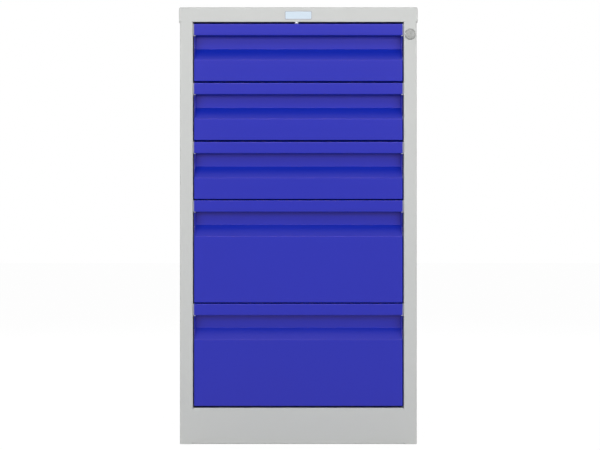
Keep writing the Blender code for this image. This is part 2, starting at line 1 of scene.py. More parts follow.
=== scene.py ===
"""Dresses the tool pedestal cabinet and stands it in a plain studio.

Metres, +Z up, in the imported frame: the drawers open towards -Y and +X is to the right.
Sheet pieces are taken over from the frame with smooth folds and eased edges. Hood caps,
rim hems, fixings, rolled slide members, ball rows, welds and the lock's face are made here.
"""

import json
import logging
import math
from collections.abc import Iterable, Mapping, Sequence
from dataclasses import dataclass
from enum import Enum
from functools import cache, reduce
from typing import Any

import bmesh
import bpy
from mathutils import Matrix, Vector


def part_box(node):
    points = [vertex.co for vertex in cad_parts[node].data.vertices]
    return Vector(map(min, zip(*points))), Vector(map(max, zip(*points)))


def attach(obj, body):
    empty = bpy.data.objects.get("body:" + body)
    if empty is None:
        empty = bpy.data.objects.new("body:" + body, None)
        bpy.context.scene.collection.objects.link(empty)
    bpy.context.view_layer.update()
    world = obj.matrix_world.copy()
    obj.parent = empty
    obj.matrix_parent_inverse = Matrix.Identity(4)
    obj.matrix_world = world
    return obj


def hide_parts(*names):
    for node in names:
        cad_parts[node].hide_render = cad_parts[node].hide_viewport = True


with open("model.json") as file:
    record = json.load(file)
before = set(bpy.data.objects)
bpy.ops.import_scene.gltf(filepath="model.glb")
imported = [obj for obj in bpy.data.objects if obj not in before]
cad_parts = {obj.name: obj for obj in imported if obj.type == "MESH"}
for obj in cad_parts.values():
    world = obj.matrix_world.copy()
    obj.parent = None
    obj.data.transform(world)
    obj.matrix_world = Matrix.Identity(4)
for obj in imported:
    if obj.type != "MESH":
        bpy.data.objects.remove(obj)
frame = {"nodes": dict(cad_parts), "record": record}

LOG = logging.getLogger("pedestal")

Colour = tuple[float, float, float]
Point = tuple[float, float, float]
Profile = Sequence[tuple[float, float]]
Shape = bmesh.types.BMesh

WELD = 0.000002  # points this close are one
HAIR = 0.00002  # keeps faces that lie on each other apart
SLIT = 0.0001  # keeps a made piece clear of the solid beside it
FLAT_DEGREES = 1.0  # faces this near to level are one face
EDGE_DEGREES = 40.0  # a corner sharper than this is a cut edge, a flatter one is a fold
HALF = 0.5
FOLD_STEPS = 3  # faces in the rounding of a fold
CORNER_STEPS = 4  # faces in the rounding of a corner seen face on
DRAWERS = range(1, 6)
MIRROR = Matrix.Scale(-1, 4, (1, 0, 0))  # swaps left and right


class Axis(Enum):
    """The frame's axes, by their place in a point."""

    X = 0
    Y = 1
    Z = 2


class Detail(Enum):
    """How many finer layers a noise has."""

    NONE = 0.0
    ONE = 1.0
    TWO = 2.0


class Facing(Enum):
    """The ways that a turned piece or a fixing can point."""

    FRONT = (0, -1, 0)
    REAR = (0, 1, 0)
    LEFT = (-1, 0, 0)
    RIGHT = (1, 0, 0)

    def turn(self) -> Matrix:
        """The turn that brings +Z to this direction."""
        return Vector(self.value).to_track_quat("Z", "Y").to_matrix().to_4x4()


class Side(Enum):
    """The cabinet's two sides, seen from the front."""

    LEFT = -1
    RIGHT = 1

    @property
    def word(self) -> str:
        """The side as the frame's nodes are named."""
        return self.name.lower()

    @property
    def other(self) -> "Side":
        """The opposite side."""
        return Side(-self.value)

    @property
    def outward(self) -> Facing:
        """The direction from the cabinet's middle to this side."""
        return Facing[self.name]


class Ray(Enum):
    """Kinds of ray that see the studio as plain white."""

    CAMERA = "Is Camera Ray"
    GLOSSY = "Is Glossy Ray"
    TRANSMISSION = "Is Transmission Ray"


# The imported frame

@dataclass(frozen=True)
class Extent:
    """The box that a node fills at rest."""

    low: Vector
    high: Vector

    @classmethod
    def of(cls, node: str) -> "Extent":
        """The box of a node of the frame."""
        low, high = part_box(node)
        return cls(Vector(low), Vector(high))

    @property
    def middle(self) -> Vector:
        """The box's middle point."""
        return (self.low + self.high) * HALF

    @property
    def size(self) -> Vector:
        """The box's three lengths."""
        return self.high - self.low

    def face(self, side: Side) -> float:
        """The x of the box's face on one side."""
        return self.high.x if side is Side.RIGHT else self.low.x


def body_of(node: str) -> str:
    """The moving body that a node belongs to."""
    bodies = frame["record"]["behaviour"]["bodies"]
    return next(body for body, nodes in bodies.items() if node in nodes)


# Shader arithmetic

class Value:
    """A shader socket that takes part in Python arithmetic."""

    def __init__(self, shader: "Shader", socket: bpy.types.NodeSocket) -> None:
        """Keeps the socket and the tree that it belongs to."""
        self.shader = shader
        self.socket = socket

    def maths(self, operation: str, *operands: "Value | float") -> "Value":
        """The result of a Math node with these operands, in order."""
        settings = {"operation": operation}
        return self.shader.node("ShaderNodeMath", settings, dict(enumerate(operands)))

    def __add__(self, other: "Value | float") -> "Value":
        """self + other."""
        return self.maths("ADD", self, other)

    def __radd__(self, other: float) -> "Value":
        """other + self."""
        return self.maths("ADD", other, self)

    def __sub__(self, other: "Value | float") -> "Value":
        """self - other."""
        return self.maths("SUBTRACT", self, other)

    def __rsub__(self, other: float) -> "Value":
        """other - self."""
        return self.maths("SUBTRACT", other, self)

    def __mul__(self, other: "Value | float") -> "Value":
        """self * other."""
        return self.maths("MULTIPLY", self, other)

    def __rmul__(self, other: float) -> "Value":
        """other * self."""
        return self.maths("MULTIPLY", other, self)

    def root(self) -> "Value":
        """The square root."""
        return self.maths("SQRT", self)

    def sine(self) -> "Value":
        """The sine."""
        return self.maths("SINE", self)

    def most(self, other: "Value | float") -> "Value":
        """The greater of two."""
        return self.maths("MAXIMUM", self, other)

    def ramp(self, low: float, high: float) -> "Value":
        """A smooth rise.

        Args:
            low: Where the rise starts.
            high: Where it ends.

        Returns:
            0 below low, 1 above high and a smooth step between.
        """
        settings = {"interpolation_type": "SMOOTHSTEP"}
        sockets = {"Value": self, "From Min": low, "From Max": high}
        return self.shader.node("ShaderNodeMapRange", settings, sockets)


class Shader:
    """The node tree of a material or of the world, grown from expressions."""

    def __init__(self, owner: bpy.types.Material | bpy.types.World) -> None:
        """Opens the owner's node tree."""
        owner.use_nodes = True
        self.tree = owner.node_tree

    def node(
        self,
        kind: str,
        settings: Mapping[str, Any] | None = None,
        sockets: Mapping[str | int, Any] | None = None,
        output: str | int = 0,
    ) -> Value:
        """Adds one node.

        Args:
            kind: The node's type.
            settings: Its properties, which are set first.
            sockets: Numbers, colours or values for its inputs, by name or place.
            output: The output that is wanted.

        Returns:
            That output.
        """
        made = self.tree.nodes.new(kind)
        for key, setting in (settings or {}).items():
            setattr(made, key, setting)
        for key, value in (sockets or {}).items():
            self.feed(made.inputs[key], value)
        return Value(self, made.outputs[output])

    def feed(self, socket: bpy.types.NodeSocket, value: Any) -> None:
        """Links a value to a socket, or sets a constant on it.

        Args:
            socket: The input socket.
            value: A value, a number or a colour.
        """
        if isinstance(value, Value):
            self.tree.links.new(value.socket, socket)
        elif isinstance(value, tuple) and socket.type == "RGBA":
            socket.default_value = (*value, 1)
        else:
            socket.default_value = value

    def place(self, stretch: Point = (1, 1, 1), centre: Point = (0, 0, 0)) -> Value:
        """Object coordinates, centred and stretched.

        Args:
            stretch: The scale on each axis.
            centre: The point that becomes the origin.

        Returns:
            The coordinates.
        """
        where = self.node("ShaderNodeTexCoord", output="Object")
        shift = tuple(-c * s for c, s in zip(centre, stretch))
        sockets = {"Vector": where, "Location": shift, "Scale": stretch}
        return self.node("ShaderNodeMapping", {"vector_type": "POINT"}, sockets)

    def axes(self, vector: Value) -> list[Value]:
        """The x, y and z of a vector."""
        split = self.node("ShaderNodeSeparateXYZ", sockets={0: vector}).socket.node
        return [Value(self, output) for output in split.outputs]

    def noise(self, where: Value, scale: float, detail: Detail = Detail.TWO) -> Value:
        """Noise from 0 to 1, with so many features a metre and so many finer layers."""
        sockets = {"Vector": where, "Scale": scale, "Detail": detail.value}
        return self.node("ShaderNodeTexNoise", {"noise_dimensions": "3D"}, sockets)

    def tint(self, colour: Colour, tone: Value) -> Value:
        """A colour made lighter or darker by a tone of about 1."""
        sockets = {0: colour, "Scale": tone}
        return self.node("ShaderNodeVectorMath", {"operation": "SCALE"}, sockets)

    def blend(self, share: Value, first: Colour, second: Colour) -> Value:
        """Mixes two colours.

        Args:
            share: The second colour's share.
            first: The colour at 0.
            second: The colour at 1.

        Returns:
            The mixed colour.
        """
        mix = self.node("ShaderNodeMix", {"data_type": "RGBA"}, {0: share}, "Result").socket.node
        ends = [socket for socket in mix.inputs if socket.type == "RGBA"]
        for socket, colour in zip(ends, (first, second)):
            self.feed(socket, colour)
        return Value(self, next(out for out in mix.outputs if out.type == "RGBA"))

    def relief(self, height: Value) -> Value:
        """The normal of a surface bumped by a height in metres."""
        sockets = {"Height": height, "Distance": 1.0, "Strength": 1.0}
        return self.node("ShaderNodeBump", None, sockets)

    def dress(self, sockets: Mapping[str, Any]) -> None:
        """Feeds the Principled shader its constants and values, by socket name."""
        for name, value in sockets.items():
            self.feed(self.tree.nodes["Principled BSDF"].inputs[name], value)


# Finishes

@dataclass(frozen=True)
class Finish:
    """What a piece is finished in, with the record's material slot that it belongs to."""

    name: str
    slot: str | None

    @cache
    def material(self) -> bpy.types.Material:
        """Makes the material at its first use, and gives the same one afterwards.

        Returns:
            The material.
        """
        made = bpy.data.materials.new(self.name)
        shader = Shader(made)
        shader.dress(self.surface(shader))
        return made

    def surface(self, shader: Shader) -> dict[str, Any]:
        """What feeds the material's surface, by socket name."""
        raise NotImplementedError(self.name)


@dataclass(frozen=True)
class PowderCoat(Finish):
    """Baked powder paint with a soft drift of tone and the peel of its cured film."""

    colour: Colour
    roughness: float = 0.42
    specular: float = 0.4
    specular_tint: Colour = (1.0, 1.0, 1.0)
    drift_scale: float = 5.0
    drift_share: float = 0.03
    grain_scale: float = 900.0
    grain_share: float = 0.03
    sheen_share: float = 0.1
    wave_scale: float = 7.0
    wave_height: float = 0.00012
    peel_scale: float = 340.0
    peel_height: float = 0.000006

    def surface(self, shader: Shader) -> dict[str, Any]:
        """Works out the paint.

        Args:
            shader: The material's tree.

        Returns:
            What feeds its surface.
        """
        where = shader.place()
        drift = shader.noise(where, self.drift_scale) - HALF
        grain = shader.noise(where, self.grain_scale, Detail.ONE) - HALF
        wave = shader.noise(where, self.wave_scale, Detail.NONE)
        peel = shader.noise(where, self.peel_scale, Detail.ONE)
        tone = 1 + drift * self.drift_share + grain * self.grain_share
        return {
            "Base Color": shader.tint(self.colour, tone),
            "Roughness": self.roughness + drift * self.sheen_share,
            "Specular IOR Level": self.specular,
            "Specular Tint": self.specular_tint,
            "Normal": shader.relief(wave * self.wave_height + peel * self.peel_height),
        }


@dataclass(frozen=True)
class ZincPlate(Finish):
    """Bright zinc plating with rolling streaks and a faint passivated tint."""

    stretch: Point
    pale: Colour = (0.60, 0.62, 0.65)
    warm: Colour = (0.585, 0.58, 0.55)
    roughness: float = 0.30
    tint_scale: float = 26.0
    tint_range: tuple[float, float] = (0.35, 0.65)
    streak_scale: float = 700.0
    streak_share: float = 0.16
    streak_height: float = 0.000004

    def surface(self, shader: Shader) -> dict[str, Any]:
        """Works out the plating.

        Args:
            shader: The material's tree.

        Returns:
            What feeds its surface.
        """
        cloud = shader.noise(shader.place(), self.tint_scale)
        streak = shader.noise(shader.place(self.stretch), self.streak_scale)
        return {
            "Base Color": shader.blend(cloud.ramp(*self.tint_range), self.pale, self.warm),
            "Roughness": self.roughness + (streak - HALF) * self.streak_share,
            "Metallic": 1.0,
            "Normal": shader.relief(streak * self.streak_height),
        }


@dataclass(frozen=True)
class TurnedNickel(Finish):
    """Satin nickel with fine turning marks round an axis that points to the front."""

    centre: Point
    colour: Colour = (0.335, 0.34, 0.33)
    roughness: float = 0.24
    ring_pitch: float = 0.00022
    ring_height: float = 0.000003
    ring_share: float = 0.1
    cloud_scale: float = 180.0
    dark_tone: float = 0.94
    cloud_share: float = 0.12

    def surface(self, shader: Shader) -> dict[str, Any]:
        """Works out the plating.

        Args:
            shader: The material's tree.

        Returns:
            What feeds its surface.
        """
        x, _, z = shader.axes(shader.place(centre=self.centre))
        radius = (x * x + z * z).root()
        rings = (radius * (math.tau / self.ring_pitch)).sine()
        cloud = shader.noise(shader.place(), self.cloud_scale)
        return {
            "Base Color": shader.tint(self.colour, self.dark_tone + cloud * self.cloud_share),
            "Roughness": self.roughness + rings * cloud * self.ring_share,
            "Metallic": 1.0,
            "Normal": shader.relief(rings * self.ring_height),
        }


@dataclass(frozen=True)
class PolishedSteel(Finish):
    """Hardened steel of the bearing balls, with a trace of grease."""

    colour: Colour = (0.60, 0.60, 0.61)
    roughness: float = 0.12
    smear_scale: float = 260.0
    smear_share: float = 0.25
    smear_range: tuple[float, float] = (0.45, 0.7)
    dark_tone: float = 0.9
    cloud_share: float = 0.2

    def surface(self, shader: Shader) -> dict[str, Any]:
        """Works out the steel.

        Args:
            shader: The material's tree.

        Returns:
            What feeds its surface.
        """
        smear = shader.noise(shader.place(), self.smear_scale)
        return {
            "Base Color": shader.tint(self.colour, self.dark_tone + smear * self.cloud_share),
            "Roughness": self.roughness + smear.ramp(*self.smear_range) * self.smear_share,
            "Metallic": 1.0,
        }


@dataclass(frozen=True)
class MouldedNylon(Finish):
    """Nylon from a spark-eroded mould."""

    colour: Colour
    roughness: float = 0.48
    softness: float = 0.06
    soft_depth: float = 0.001
    cloud_scale: float = 90.0
    cloud_share: float = 0.05
    spark_scale: float = 2400.0
    spark_share: float = 0.2
    spark_height: float = 0.000008

    def surface(self, shader: Shader) -> dict[str, Any]:
        """Works out the plastic.

        Args:
            shader: The material's tree.

        Returns:
            What feeds its surface.
        """
        where = shader.place()
        cloud = shader.noise(where, self.cloud_scale) - HALF
        spark = shader.noise(where, self.spark_scale, Detail.ONE)
        return {
            "Base Color": shader.tint(self.colour, 1 + cloud * self.cloud_share),
            "Roughness": self.roughness + (spark - HALF) * self.spark_share,
            "Normal": shader.relief(spark * self.spark_height),
            "Subsurface Weight": self.softness,
            "Subsurface Scale": self.soft_depth,
        }


@dataclass(frozen=True)
class SatinPlate(Finish):
    """Anodised plate with a fine grain along its length."""

    colour: Colour = (0.38, 0.39, 0.43)
    stretch: Point = (0.03, 1, 1)
    roughness: float = 0.34
    grain_scale: float = 2600.0
    grain_share: float = 0.14
    grain_height: float = 0.000002
    dark_tone: float = 0.95
    tone_share: float = 0.1

    def surface(self, shader: Shader) -> dict[str, Any]:
        """Works out the plate's metal.

        Args:
            shader: The material's tree.

        Returns:
            What feeds its surface.
        """
        grain = shader.noise(shader.place(self.stretch), self.grain_scale)
        return {
            "Base Color": shader.tint(self.colour, self.dark_tone + grain * self.tone_share),
            "Roughness": self.roughness + (grain - HALF) * self.grain_share,
            "Metallic": 1.0,
            "Normal": shader.relief(grain * self.grain_height),
        }


@dataclass(frozen=True)
class Enamel(Finish):
    """The plate's blank printed field under a clear coat."""

    colour: Colour = (0.62, 0.73, 0.83)
    roughness: float = 0.3
    coat: float = 0.4
    coat_roughness: float = 0.1
    dot_scale: float = 1500.0
    dot_share: float = 0.06
    sheen_share: float = 0.1

    def surface(self, shader: Shader) -> dict[str, Any]:
        """Works out the enamel.

        Args:
            shader: The material's tree.

        Returns:
            What feeds its surface.
        """
        dots = shader.noise(shader.place(), self.dot_scale, Detail.NONE)
        return {
            "Base Color": shader.tint(self.colour, 1 + (dots - HALF) * self.dot_share),
            "Roughness": self.roughness + (dots - HALF) * self.sheen_share,
            "Coat Weight": self.coat,
            "Coat Roughness": self.coat_roughness,
        }


GREY_PAINT = PowderCoat("light_grey_powder_coat", "light_grey_paint", (0.585, 0.595, 0.582))
BLUE_PAINT = PowderCoat(
    "ultramarine_powder_coat",
    "blue_paint",
    (0.0045, 0.022, 0.427),
    roughness=0.30,
    specular=0.5,
    specular_tint=(1.0, 0.66, 1.0),
)
SLIDE_ZINC = ZincPlate("zinc_along_the_slides", "zinc", (1, 0.02, 1))
BAR_ZINC = ZincPlate("zinc_up_the_bar", "zinc", (1, 1, 0.02))
NICKEL = TurnedNickel("turned_nickel", "nickel", tuple(Extent.of("lock_housing").middle))
BALL_STEEL = PolishedSteel("bearing_steel", None)
WHITE_NYLON = MouldedNylon("white_nylon", "white_nylon", (0.90, 0.91, 0.92))
# near black: moulded plastic for the levers and bar guides, and painted shade on the slide ends in
# the gaps beside the drawers
DARK_NYLON_AND_GAP_SHADE = MouldedNylon("dark_grey_nylon", "grey_nylon", (0.045, 0.045, 0.05))
CAP_NYLON = MouldedNylon("light_grey_nylon", "grey_nylon", (0.36, 0.36, 0.43))
PLATE_METAL = SatinPlate("satin_plate", "plate_metal")
ENAMEL = Enamel("blank_enamel", "plate_metal")


# Mesh work

def taken_over(node: str) -> Shape:
    """Copies a node's mesh, welded, with each flat face whole again.

    Args:
        node: The node's name.

    Returns:
        The copy.
    """
    bm = bmesh.new()
    bm.from_mesh(frame["nodes"][node].data)
    bmesh.ops.remove_doubles(bm, verts=bm.verts, dist=WELD)
    limit = math.radians(FLAT_DEGREES)
    bmesh.ops.dissolve_limit(bm, angle_limit=limit, verts=bm.verts, edges=bm.edges)
    return bm


def eased(
    bm: Shape, width: float, segments: int = 2, edges: Iterable[bmesh.types.BMEdge] | None = None
) -> Shape:
    """Rounds edges.

    Args:
        bm: The shape.
        width: How far from its edge the rounding starts.
        segments: Faces in the rounding.
        edges: The edges, or None for every cut edge.

    Returns:
        The same shape.
    """
    if edges is None:
        limit = math.radians(EDGE_DEGREES)
        edges = [e for e in bm.edges if e.is_manifold and abs(e.calc_face_angle()) > limit]
    bmesh.ops.bevel(
        bm,
        geom=list(edges),
        offset=width,
        segments=segments,
        profile=0.5,
        affect="EDGES",
        clamp_overlap=True,
        material=-1,
    )
    return bm


def block(corner: Sequence[float], opposite: Sequence[float]) -> Shape:
    """A rectangular blank between two opposite corners.

    Args:
        corner: One corner.
        opposite: The corner farthest from it.

    Returns:
        The blank.
    """
    bm = bmesh.new()
    bmesh.ops.create_cube(bm, size=1.0)
    size = Vector(map(abs, Vector(opposite) - Vector(corner)))
    middle = (Vector(opposite) + Vector(corner)) * HALF
    bmesh.ops.transform(bm, matrix=Matrix.LocRotScale(middle, None, size), verts=bm.verts)
    return bm


def edges_along(bm: Shape, axis: Axis) -> list[bmesh.types.BMEdge]:
    """Finds straight edges along one axis.

    Args:
        bm: The shape.
        axis: The axis.

    Returns:
        The edges.
    """
    others = [other.value for other in Axis if other is not axis]
    found = []
    for edge in bm.edges:
        run = edge.verts[1].co - edge.verts[0].co
        if all(abs(run[a]) < WELD for a in others):
            found.append(edge)
    return found


def rounded(bm: Shape, width: float, axis: Axis, segments: int = CORNER_STEPS) -> Shape:
    """Rounds the edges along one axis, as eased does, and gives the same shape."""
    return eased(bm, width, segments, edges_along(bm, axis))


def verts_of(geometry: Iterable[Any]) -> list[bmesh.types.BMVert]:
    """The vertices among what an operator made."""
    return [item for item in geometry if isinstance(item, bmesh.types.BMVert)]


def mesh_of(bm: Shape, name: str) -> bpy.types.Mesh:
    """Turns a shape into a mesh.

    Args:
        bm: The shape, which is used up.
        name: The mesh's name.

    Returns:
        The mesh.
    """
    mesh = bpy.data.meshes.new(name)
    bm.to_mesh(mesh)
    bm.free()
    return mesh


def put_up(name: str, data: bpy.types.ID) -> bpy.types.Object:
    """Puts an object into the scene.

    Args:
        name: The object's name.
        data: Its mesh, lamp or camera.

    Returns:
        The object.
    """
    made = bpy.data.objects.new(name, data)
    bpy.context.scene.collection.objects.link(made)
    return made


def turned(
    profile: Profile, facing: Facing, centre: Sequence[float], steps: int, ring: bool = False
) -> Shape:
    """Spins a profile round the facing direction.

    Args:
        profile: Points of radius and height along the facing direction.
        facing: The direction of the axis.
        centre: The point at height zero on the axis.
        steps: Faces round the axis.
        ring: Whether the profile closes on itself, clear of the axis.

    Returns:
        The turned shape.
    """
    bm = bmesh.new()
    verts = [bm.verts.new((radius, 0, height)) for radius, height in profile]
    chain = verts + verts[:1] if ring else verts
    edges = [bm.edges.new(pair) for pair in zip(chain, chain[1:])]
    bmesh.ops.spin(
        bm,
        geom=verts + edges,
        axis=(0, 0, 1),
        cent=(0, 0, 0),
        steps=steps,
        angle=math.tau,
        use_merge=True,
    )
    bmesh.ops.remove_doubles(bm, verts=bm.verts, dist=WELD)
    bmesh.ops.recalc_face_normals(bm, faces=bm.faces)
    place = Matrix.Translation(Vector(centre)) @ facing.turn()
    bmesh.ops.transform(bm, matrix=place, verts=bm.verts)
    return bm


def repeated(bm: Shape, places: Sequence[Vector]) -> Shape:
    """Copies a shape to several places.

    Args:
        bm: The shape, about the origin.
        places: Where the copies go.

    Returns:
        The shape with its copies.
    """
    master = [*bm.verts, *bm.edges, *bm.faces]
    originals = list(bm.verts)
    for place in places[1:]:
        copy = bmesh.ops.duplicate(bm, geom=master)["geom"]
        bmesh.ops.translate(bm, vec=place, verts=verts_of(copy))
    bmesh.ops.translate(bm, vec=places[0], verts=originals)
    return bm


def gathered(shapes: Iterable[Shape]) -> Shape:
    """Puts several shapes into one.

    Args:
        shapes: The shapes, which are used up.

    Returns:
        One shape that holds them all.
    """
    whole = bmesh.new()
    for shape in shapes:
        carrier = mesh_of(shape, "carrier")
        whole.from_mesh(carrier)
        bpy.data.meshes.remove(carrier)
    return whole


def run_along(path: Profile, start: float, end: float, fold: float) -> Shape:
    """Runs a folded path of (x, z) points along Y, as a skin without thickness.

    Args:
        path: The path's corners.
        start: The first y.
        end: The last y.
        fold: How far from each corner its rounding starts.

    Returns:
        The skin.
    """
    bm = bmesh.new()
    verts = [bm.verts.new((x, start, z)) for x, z in path]
    edges = [bm.edges.new(pair) for pair in zip(verts, verts[1:])]
    grown = bmesh.ops.extrude_edge_only(bm, edges=edges)["geom"]
    bmesh.ops.translate(bm, vec=(0, end - start, 0), verts=verts_of(grown))
    folds = [edge for edge in edges_along(bm, Axis.Y) if not edge.is_boundary]
    return eased(bm, fold, FOLD_STEPS, folds)


def evenly(low: float, high: float, count: int) -> list[float]:
    """So many places, evenly spaced from low to high."""
    step = (high - low) / (count - 1)
    return [low + step * i for i in range(count)]


@dataclass(frozen=True)
class Head:
    """A round head or mark: a rivet, a washer, a pivot or a spot weld."""

    radius: float
    height: float
    outline: Profile  # from the axis out, in shares of the radius and the height
    sink: float = 0.0
    steps: int = 20

    def turn(self, facing: Facing, centre: Sequence[float] = (0, 0, 0)) -> Shape:
        """Turns the head.

        Args:
            facing: The way that it points.
            centre: The middle of its seat.

        Returns:
            Its shape, closed below the seat.
        """
        profile = [(self.radius * out, self.height * up) for out, up in self.outline]
        profile += [(self.radius, -self.sink), (0, -self.sink)]
        return turned(profile, facing, centre, self.steps)


def weigh_normals(piece: bpy.types.Object) -> None:
    """Lets the larger faces rule a piece's shading, and keeps its sharp edges."""
    piece.modifiers.new("weighted_normals", "WEIGHTED_NORMAL").keep_sharp = True


@dataclass
class Fitter:
    """Turns shapes into finished pieces that ride on the frame's bodies."""

    count: int = 0

    def fit(
        self, name: str, bm: Shape, finish: Finish, body: str, *stands_for: str
    ) -> bpy.types.Object:
        """Makes a piece of a shape.

        Args:
            name: The piece's name.
            bm: Its shape, which is used up.
            finish: Its finish.
            body: The body that it moves with.
            stands_for: The nodes that it replaces.

        Returns:
            The piece.
        """
        mesh = mesh_of(bm, name)
        stale = mesh.attributes.get("custom_normal")
        if stale:
            mesh.attributes.remove(stale)
        mesh.materials.clear()
        mesh.materials.append(finish.material())
        mesh.shade_smooth()
        mesh.set_sharp_from_angle(angle=math.radians(EDGE_DEGREES))
        piece = put_up(name, mesh)
        weigh_normals(piece)
        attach(piece, body)
        if stands_for:
            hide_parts(*stands_for)
        self.count += 1
        LOG.info("%s rides on %s", name, body)
        return piece

    def take_over(
        self, node: str, finish: Finish, name: str, edge: float, segments: int = 2
    ) -> None:
        """Replaces a node by its own shape with eased edges.

        Args:
            node: The node's name.
            finish: The piece's finish.
            name: The piece's name.
            edge: The rounding of its cut edges.
            segments: Faces in that rounding.
        """
        shape = eased(taken_over(node), edge, segments)
        self.fit(name, shape, finish, body_of(node), node)


def cut_out(piece: bpy.types.Object, cutter: Shape) -> None:
    """Cuts a shape out of a piece for good, and weighs its normals again.

    Args:
        piece: The piece.
        cutter: The shape to cut, which is used up.
    """
    mesh = mesh_of(cutter, "cutter")
    tool = put_up("cutter", mesh)
    step = piece.modifiers.new("cut", "BOOLEAN")
    step.operation = "DIFFERENCE"
    step.solver = "EXACT"
    step.object = tool
    bpy.context.view_layer.update()
    graph = bpy.context.evaluated_depsgraph_get()
    done = bpy.data.meshes.new_from_object(piece.evaluated_get(graph))
    old = piece.data
    piece.modifiers.clear()
    piece.data = done
    done.name = piece.name
    bpy.data.meshes.remove(old)
    bpy.data.objects.remove(tool)
    bpy.data.meshes.remove(mesh)
    weigh_normals(piece)


# Carcass

@dataclass
class Carcass:
    """The painted case: cover, side panels with their posts, plinth, floor, back and uprights."""

    fitter: Fitter
    cut_edge: float = 0.0002
    seam_reach: float = 0.0029  # round the fold of a post
    seam_width: float = 0.0006
    seam_depth: float = 0.0011
    seam_edge: float = 0.00008
    rivet: Head = Head(
        radius=0.0034,
        height=0.0013,
        outline=((0, 0.55), (0.3, 0.55), (0.34, 1), (0.62, 0.94), (0.88, 0.62), (1, 0.15)),
        sink=HAIR,
    )
    rivet_count: int = 5
    rivet_inset: float = 0.009
    rivet_margin: float = 0.045
    weld: Head = Head(radius=0.0034, height=0.00026, outline=((0, 0.2), (0.55, 0.3), (0.8, 1)))
    upright_weld_count: int = 9
    floor_weld_count: int = 6
    weld_margin: float = 0.06

    def build(self) -> None:
        """Builds the case."""
        self.dress_sheets()
        self.build_plinth_seams()
        self.build_cover_seams()
        self.build_back_rivets()
        self.build_side_welds()

    def dress_sheets(self) -> None:
        """Takes over every sheet of the case."""
        middle = ("back_panel", "floor_panel", "plinth_panel")
        panels = [f"side_panel_{side.word}" for side in Side]
        uprights = [f"rear_upright_{side.word}" for side in Side]
        for node in ("top_cover", *panels, *middle, *uprights):
            self.fitter.take_over(node, GREY_PAINT, f"{node}_sheet", self.cut_edge)

    def build_plinth_seams(self) -> None:
        """Fills the welded seams between the plinth and the posts, ground flush."""
        box, reach = Extent.of("plinth_panel"), self.seam_reach
        for side in Side:
            start = side.value * (box.high.x - self.cut_edge)
            end = side.value * (box.high.x + reach)
            corner = (start, box.low.y + HAIR, box.low.z + reach)
            opposite = (end, box.low.y + reach, box.high.z - reach)
            self._seam(f"plinth_seam_{side.word}", block(corner, opposite))

    def build_cover_seams(self) -> None:
        """Fills the welded seams between the cover's front flange and the posts."""
        level = Extent.of("top_cover").low.z
        for side in Side:
            panel = Extent.of(f"side_panel_{side.word}")
            reach = side.value * self.seam_reach
            front = panel.low.y + HAIR
            corner = (panel.face(side.other) + reach, front, level - self.seam_width)
            opposite = (panel.face(side) - reach, front + self.seam_depth, level + self.seam_width)
            self._seam(f"cover_seam_{side.word}", block(corner, opposite))

    def _seam(self, name: str, shape: Shape) -> None:
        """Fits one seam, its long edges eased."""
        self.fitter.fit(name, eased(shape, self.seam_edge, 1), GREY_PAINT, "cabinet")

    def build_back_rivets(self) -> None:
        """Sets blind rivets through the rear returns into the back sheet."""
        for side in Side:
            panel = Extent.of(f"side_panel_{side.word}")
            x = panel.face(side) - side.value * self.rivet_inset
            low, high = panel.low.z + self.rivet_margin, panel.high.z - self.rivet_margin
            places = [Vector((x, panel.high.y, z)) for z in evenly(low, high, self.rivet_count)]
            shape = repeated(self.rivet.turn(Facing.REAR), places)
            self.fitter.fit(f"back_rivets_{side.word}", shape, BAR_ZINC, "cabinet")

    def build_side_welds(self) -> None:
        """Marks the spot welds that hold the uprights and the floor to the side panels."""
        floor, margin = Extent.of("floor_panel"), self.weld_margin
        for side in Side:
            x = Extent.of(f"side_panel_{side.word}").face(side)
            upright = Extent.of(f"rear_upright_{side.word}")
            rise = evenly(upright.low.z + margin, upright.high.z - margin, self.upright_weld_count)
            run = evenly(floor.low.y + margin, floor.high.y - margin, self.floor_weld_count)
            places = [Vector((x, upright.middle.y, z)) for z in rise]
            places += [Vector((x, y, floor.middle.z)) for y in run]
            shape = repeated(self.weld.turn(side.outward), places)
            self.fitter.fit(f"side_spot_welds_{side.word}", shape, GREY_PAINT, "cabinet")


# Name plate and buffer

@dataclass
class FrontTrim:
    """The blank name plate on the cover and the nylon buffer under it."""

    fitter: Fitter
    rim: float = 0.0011
    sunk: float = 0.00015
    field_thick: float = 0.0003
    edge: float = 0.00012
    corner: float = 0.0011

    def build(self) -> None:
        """Builds both."""
        self.build_plate()
        self.fitter.take_over("top_buffer", WHITE_NYLON, "cover_buffer", self.edge)

    def build_plate(self) -> None:
        """Sinks the plate's face inside a rim and lays the blank field in it."""
        node = "badge_plate"
        shape = taken_over(node)
        front = min(shape.faces, key=lambda face: face.calc_center_median().y)
        bmesh.ops.inset_region(shape, faces=[front], thickness=self.rim, use_even_offset=True)
        bmesh.ops.translate(shape, vec=(0, self.sunk, 0), verts=front.verts)
        self.fitter.fit("name_plate_rim", eased(shape, self.edge), PLATE_METAL, "cabinet", node)
        box = Extent.of(node)
        inset = Vector((self.rim + HAIR, 0, self.rim + HAIR))
        low, high = box.low + inset, box.high - inset
        low.y = box.low.y + self.sunk - self.field_thick * HALF
        high.y = low.y + self.field_thick
        label = rounded(block(low, high), self.corner, Axis.Y)
        self.fitter.fit("name_plate_field", label, ENAMEL, "cabinet")


# Drawers

